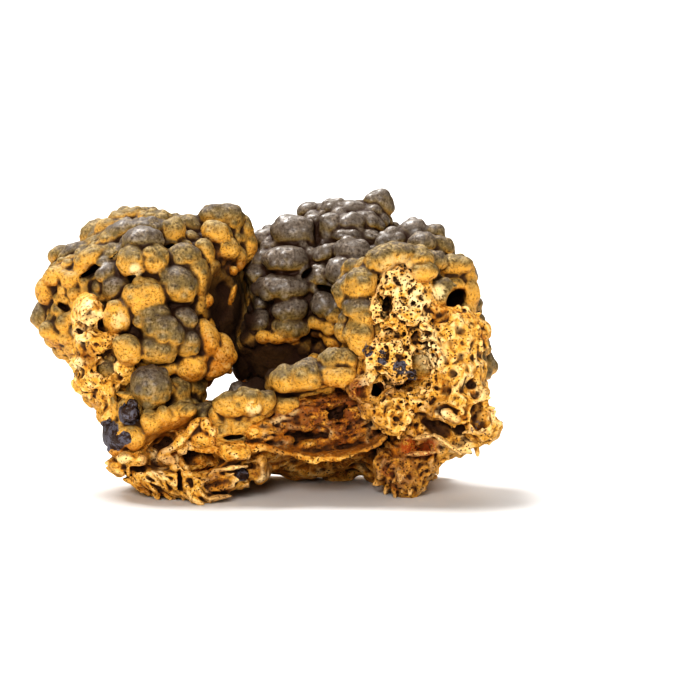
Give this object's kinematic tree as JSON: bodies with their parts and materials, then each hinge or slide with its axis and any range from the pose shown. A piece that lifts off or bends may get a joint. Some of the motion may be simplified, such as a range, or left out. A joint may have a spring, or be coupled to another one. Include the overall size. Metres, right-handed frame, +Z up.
{
  "type": "mottramite specimen",
  "caption": "Hand specimen of mottramite: a bowl-shaped piece with a grape-like olive crust over a porous, broken ochre matrix.",
  "frame": {"origin": "centre of the bounding box in plan, at the height of the surface the piece stands on", "axes": "+X to the right across the piece's longest extent as the front view shows it, +Y away behind the rim, +Z up"},
  "size_m": [0.0634, 0.0378, 0.0397],
  "materials": {
    "botryoidal_crust": "satin, dusty olive-grey to ochre lobes",
    "ochre_matrix": "matt, porous, pale ochre with dark brown pores"
  },
  "bodies": {
    "root": {"mottramite_specimen": "botryoidal_crust"}
  },
  "joints": []
}
